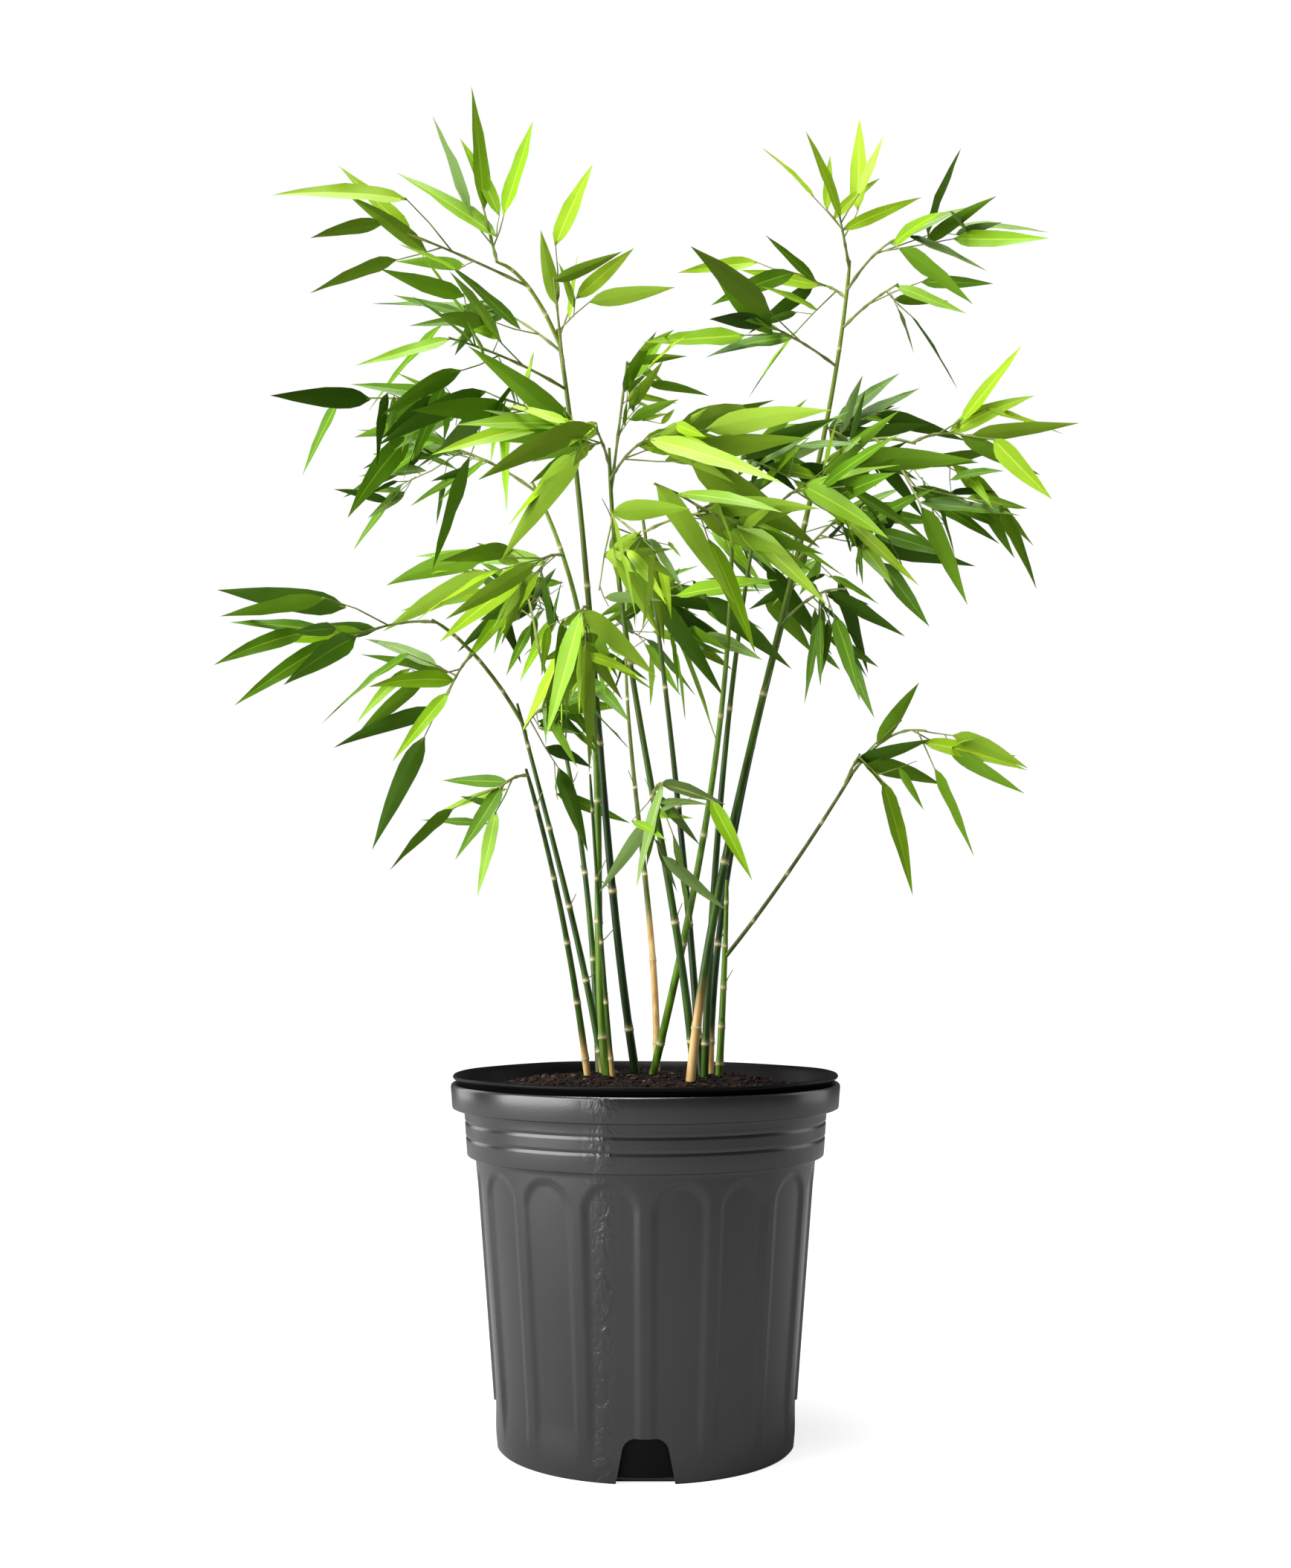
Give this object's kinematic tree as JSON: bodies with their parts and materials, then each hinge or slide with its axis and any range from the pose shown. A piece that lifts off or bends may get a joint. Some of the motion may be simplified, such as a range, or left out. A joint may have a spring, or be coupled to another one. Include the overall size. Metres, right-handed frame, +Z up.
{
  "type": "potted bamboo",
  "caption": "Clump of slender green bamboo canes with sprays of narrow leaves, standing in a ribbed round nursery pot of dark plastic.",
  "frame": {"origin": "middle of the pot's flat underside", "axes": "+Z up along the canes, -Y towards the viewer's side, +X to the viewer's right"},
  "size_m": [0.645, 0.5598, 1.0618],
  "materials": {
    "pot": "charcoal moulded plastic with a soft sheen",
    "liner": "black thin plastic",
    "soil": "dark granular potting mix of bark and peat",
    "cane": "smooth green cane with pale rings",
    "dry_cane": "dry tan cane",
    "leaf": "satin leaf"
  },
  "bodies": {
    "root": {"pot": "pot", "liner": "liner", "soil": "soil", "cane_outer_left": "cane", "cane_left": "cane", "cane_left_back": "cane", "cane_left_thick": "cane", "cane_left_thin": "cane", "cane_tall_left": "cane", "cane_dry": "dry_cane", "cane_bright": "cane", "cane_middle": "cane", "cane_middle_back": "cane", "cane_tall_right": "cane", "cane_right_back": "cane", "cane_right": "cane", "cane_outer_right": "cane", "bough_top_left": "cane", "bough_far_left": "cane", "bough_low_right": "cane", "bough_right_arm": "cane", "spray_tip_left": "leaf", "spray_far_left_top": "leaf", "spray_upper_left_a": "leaf", "spray_upper_left_b": "leaf", "spray_upper_left_c": "leaf", "spray_left_mid_a": "leaf", "spray_left_mid_b": "leaf", "spray_left_mid_c": "leaf", "spray_left_broad": "leaf", "spray_far_left": "leaf", "spray_low_left_a": "leaf", "spray_low_left_b": "leaf", "spray_inner_left": "leaf", "spray_front_left": "leaf", "spray_front_mid": "leaf", "spray_front_top": "leaf", "spray_front_right": "leaf", "spray_front_low_right": "leaf", "spray_centre_right_a": "leaf", "spray_centre_right_b": "leaf", "spray_right_a": "leaf", "spray_right_b": "leaf", "spray_right_c": "leaf", "spray_far_right": "leaf", "spray_right_d": "leaf", "spray_right_low": "leaf", "spray_low_right_a": "leaf", "spray_low_right_b": "leaf", "spray_tip_right": "leaf", "spray_top_right": "leaf", "spray_top_right_left": "leaf", "spray_upper_right_left": "leaf", "spray_upper_right": "leaf", "spray_centre_thin": "leaf", "spray_low_centre": "leaf", "spray_centre_low_right": "leaf", "spray_back_left": "leaf", "spray_back_centre": "leaf", "spray_back_right": "leaf"}
  },
  "joints": []
}
